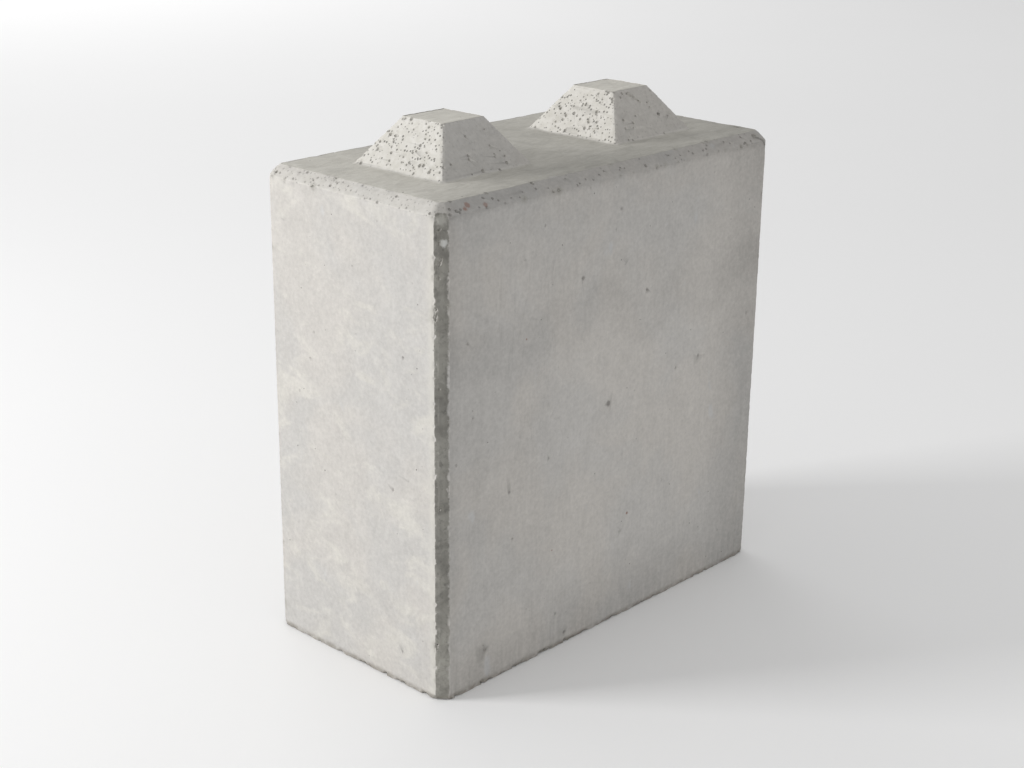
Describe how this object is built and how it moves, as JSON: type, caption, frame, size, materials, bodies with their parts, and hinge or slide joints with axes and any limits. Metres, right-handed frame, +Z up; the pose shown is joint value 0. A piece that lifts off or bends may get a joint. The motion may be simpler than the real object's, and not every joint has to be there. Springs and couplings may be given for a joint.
{
  "type": "interlocking concrete barrier block",
  "caption": "Upright concrete barrier block with chamfered edges, truncated-pyramid studs on top, matching sockets underneath and a steel cage cast inside.",
  "frame": {"origin": "middle of the flat underside, on the ground", "axes": "+Z up, X along the block's long side with one stud on each side of the origin, Y across its thickness"},
  "size_m": [0.8, 0.4, 0.875],
  "materials": {
    "concrete": "matte",
    "ribbed_bar": "matte",
    "tie_wire": "matte",
    "spacer_plastic": "matte"
  },
  "bodies": {
    "root": {"concrete_block": "concrete", "corner_bar_1": "ribbed_bar", "corner_bar_2": "ribbed_bar", "corner_bar_3": "ribbed_bar", "corner_bar_4": "ribbed_bar", "side_bar_1": "ribbed_bar", "side_bar_2": "ribbed_bar", "side_bar_3": "ribbed_bar", "side_bar_4": "ribbed_bar", "end_bar_1": "ribbed_bar", "end_bar_2": "ribbed_bar", "link_1": "ribbed_bar", "link_2": "ribbed_bar", "link_3": "ribbed_bar", "link_4": "ribbed_bar", "link_5": "ribbed_bar", "bottom_bar_front": "ribbed_bar", "bottom_bar_rear": "ribbed_bar", "top_bar_front": "ribbed_bar", "top_bar_rear": "ribbed_bar", "stud_hairpin_1": "ribbed_bar", "stud_hairpin_2": "ribbed_bar", "tie_wires": "tie_wire", "cover_wheels": "spacer_plastic", "foot_caps": "spacer_plastic"}
  },
  "joints": []
}
